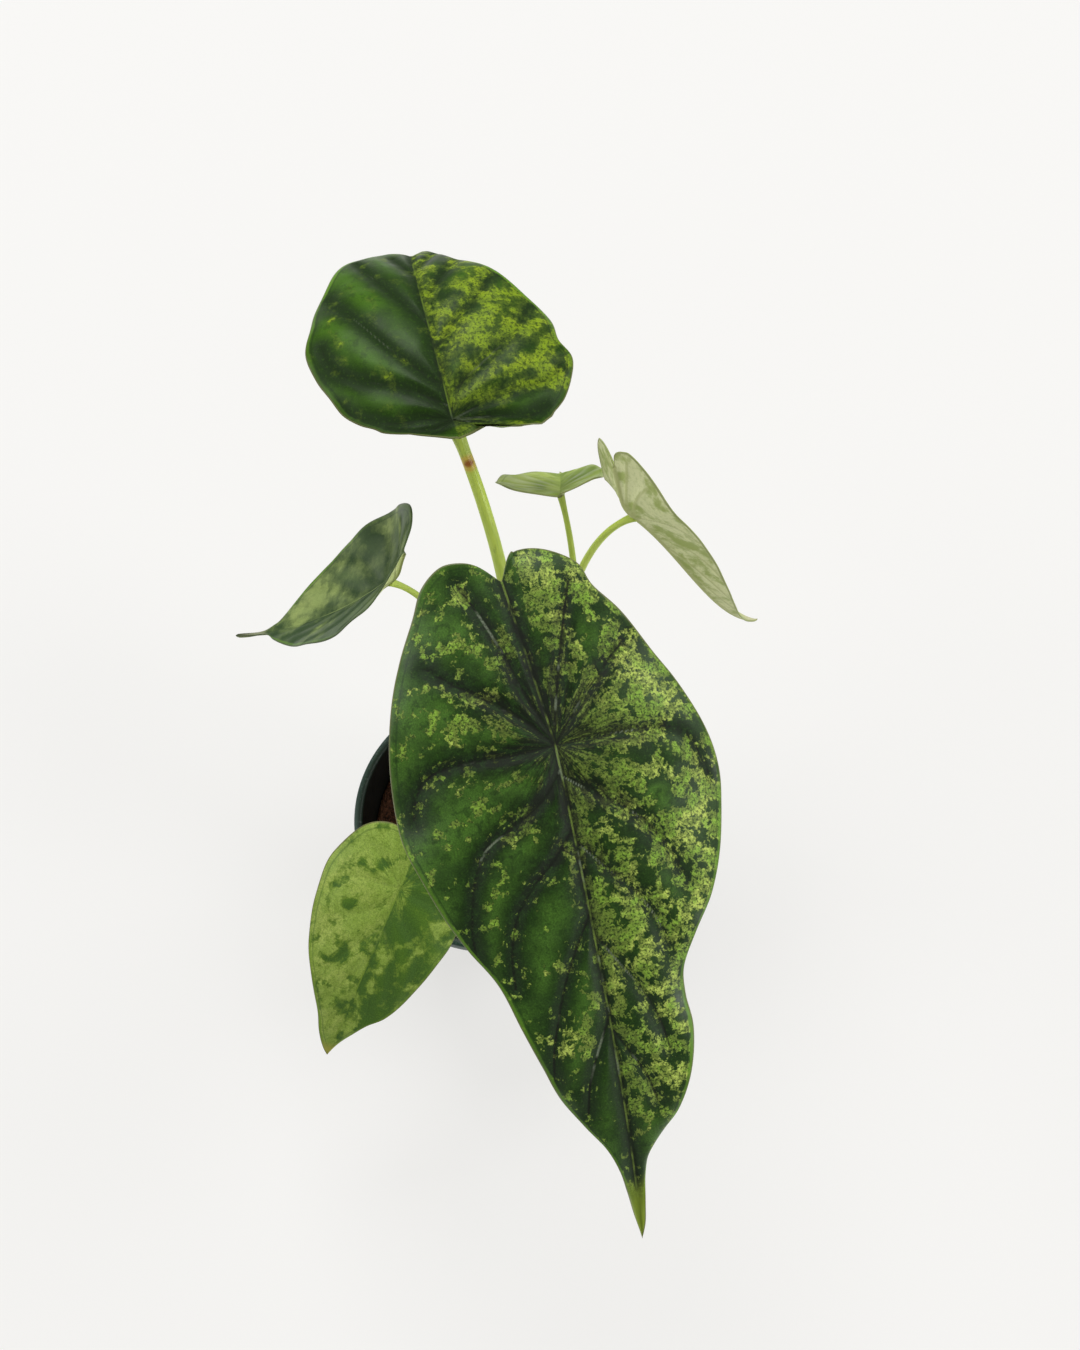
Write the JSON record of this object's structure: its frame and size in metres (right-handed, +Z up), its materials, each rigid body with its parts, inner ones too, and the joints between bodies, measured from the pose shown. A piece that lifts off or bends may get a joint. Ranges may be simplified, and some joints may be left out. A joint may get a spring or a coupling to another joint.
{
  "type": "potted alocasia plant",
  "caption": "Small variegated alocasia with quilted, peltate shield leaves on slender stalks, growing from a short corm in a round tapered nursery pot of dark mix.",
  "frame": {"origin": "centre of the pot's flat underside", "axes": "+Z up; the largest leaf hangs towards -Y, the side it is usually seen from, and +X is to the right from there"},
  "size_m": [0.1988, 0.3496, 0.2636],
  "materials": {
    "pot": "dark moulded plastic, slightly satin",
    "soil": "damp bark and fibre mix",
    "corm": "dry ringed skin",
    "petiole": "smooth lime green, satin",
    "blade_dark": "glossy dark green with lime marbling",
    "blade_pale": "light green with darker blotches, satin"
  },
  "bodies": {
    "root": {"pot": "pot", "soil": "soil", "corm": "corm", "petiole_front": "petiole", "blade_front": "blade_dark", "petiole_back": "petiole", "blade_back": "blade_dark", "petiole_left": "petiole", "blade_left": "blade_dark", "petiole_far": "petiole", "blade_far": "blade_pale", "petiole_right": "petiole", "blade_right": "blade_pale", "petiole_low": "petiole", "blade_low": "blade_pale"}
  },
  "joints": []
}
